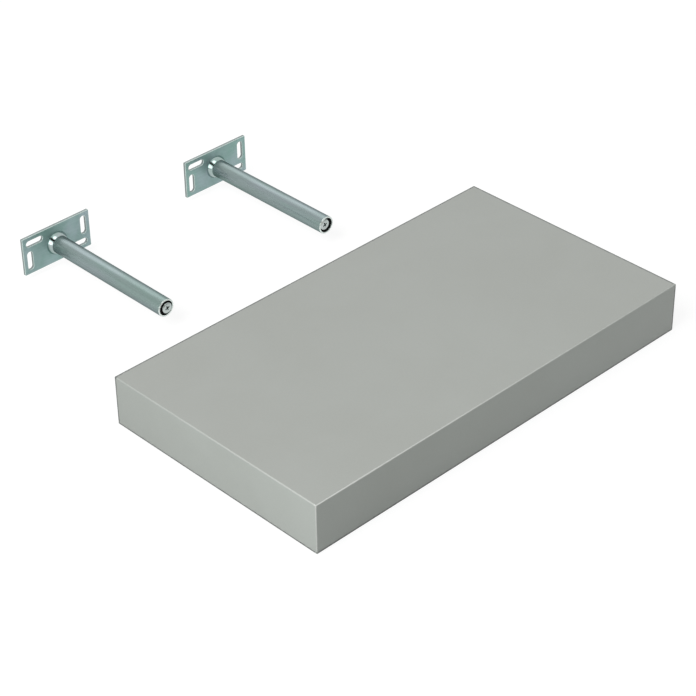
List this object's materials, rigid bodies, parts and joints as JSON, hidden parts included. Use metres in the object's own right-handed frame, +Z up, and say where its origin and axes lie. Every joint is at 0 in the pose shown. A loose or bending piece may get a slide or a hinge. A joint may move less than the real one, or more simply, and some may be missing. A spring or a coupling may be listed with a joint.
{
  "type": "floating wall shelf",
  "caption": "Hollow-core floating shelf board that slides onto two concealed wall brackets with slotted plates and tubular rods.",
  "frame": {"origin": "on the wall plane, midway between the two rods, at the height of their axes", "axes": "+X along the shelf to the right seen from the room, +Y into the wall along the rods, +Z up"},
  "size_m": [0.45, 0.493, 0.05],
  "materials": {
    "foil": "satin silver-grey laminate foil",
    "edge_foil": "satin silver-grey edge band",
    "chipboard": "raw chipboard",
    "solid_wood": "raw planed wood",
    "kraft_paper": "raw kraft paper",
    "staple_wire": "bright galvanised wire",
    "zinc_plate": "zinc plated, clear passivated",
    "zinc_collar": "zinc plated, polished",
    "zinc_tube": "zinc plated, clear passivated",
    "turned_steel": "turned, zinc plated",
    "black_nylon": "moulded black nylon",
    "bright_screw": "bright zinc plated"
  },
  "bodies": {
    "wall_brackets": {"left_wall_plate": "zinc_plate", "left_collar": "zinc_collar", "left_tube": "zinc_tube", "left_anchor_boss": "turned_steel", "left_end_bush": "black_nylon", "right_wall_plate": "zinc_plate", "right_collar": "zinc_collar", "right_tube": "zinc_tube", "right_anchor_boss": "turned_steel", "right_end_bush": "black_nylon"},
    "board": {"top_skin": "foil", "bottom_skin": "foil", "front_rail": "chipboard", "back_rail": "chipboard", "left_end_rail": "chipboard", "right_end_rail": "chipboard", "left_rod_block": "solid_wood", "right_rod_block": "solid_wood", "honeycomb_core": "kraft_paper", "frame_staples": "staple_wire", "front_edge_band": "edge_foil", "back_edge_band": "edge_foil", "left_edge_band": "edge_foil", "right_edge_band": "edge_foil"},
    "left_tie_screw": {"left_tie_screw": "bright_screw"},
    "right_tie_screw": {"right_tie_screw": "bright_screw"}
  },
  "joints": [
    {"name": "board_slide", "type": "slide", "parent": "wall_brackets", "child": "board", "axis": [0, 1, 0], "range_m": [0, 0.243]},
    {"name": "left_tie_screw_turn", "type": "hinge", "parent": "wall_brackets", "child": "left_tie_screw", "pos_m": [-0.09989, -0.164, -0.00101], "axis": [0, 1, 0], "continuous": true},
    {"name": "right_tie_screw_turn", "type": "hinge", "parent": "wall_brackets", "child": "right_tie_screw", "pos_m": [0.09989, -0.164, 0.00101], "axis": [0, 1, 0], "continuous": true}
  ]
}
